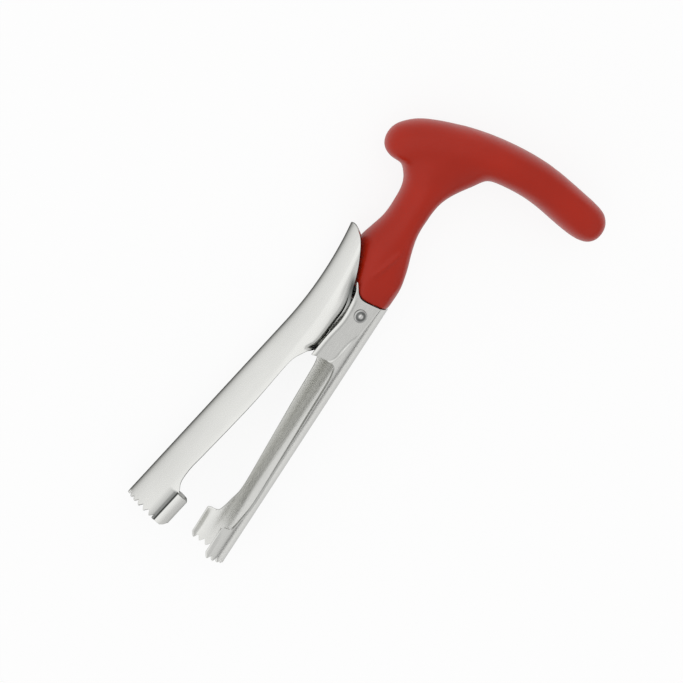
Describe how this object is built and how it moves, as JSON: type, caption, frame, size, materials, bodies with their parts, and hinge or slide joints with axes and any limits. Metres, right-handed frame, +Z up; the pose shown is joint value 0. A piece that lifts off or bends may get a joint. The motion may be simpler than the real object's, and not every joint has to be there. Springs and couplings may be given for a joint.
{
  "type": "apple corer",
  "caption": "Hinged apple corer: two serrated half-tube steel blades on a rivet pivot, opened by a finger tab to drop the core, on a red moulded T handle.",
  "frame": {"origin": "middle of the box round the drawn pose, at its lowest face, with the corer lying on its side", "axes": "+X from the opening blade towards the fixed blade and the handle's rear arm, +Y along the fixed half tube from the teeth to the handle, +Z up, along the pivot"},
  "size_m": [0.0954, 0.1808, 0.0248],
  "materials": {
    "blade_steel": "satin stainless sheet with a fine grain along the tube",
    "rivet_steel": "polished domed heads",
    "nylon": "moulded, matte",
    "spring_wire": "drawn wire",
    "core_plastic": "moulded, matte",
    "red_grip": "satin-gloss red moulding"
  },
  "bodies": {
    "handle_and_fixed_blade": {"rear_blade": "blade_steel", "rivet_socket": "rivet_steel", "rivet_stud": "rivet_steel", "pivot_washers": "nylon", "spring_bush": "nylon", "return_spring": "spring_wire", "handle_core": "core_plastic", "handle_grip": "red_grip"},
    "opening_blade": {"front_blade": "blade_steel"}
  },
  "joints": [
    {"name": "blade_hinge", "type": "hinge", "parent": "handle_and_fixed_blade", "child": "opening_blade", "pos_m": [-0.01522, 0.01075, 0.01241], "axis": [0, 0, 1], "range_deg": [-3, 10.3], "stiffness_Nm_per_rad": 0.15, "springref_deg": 24.64, "deforming": ["return_spring"]}
  ]
}
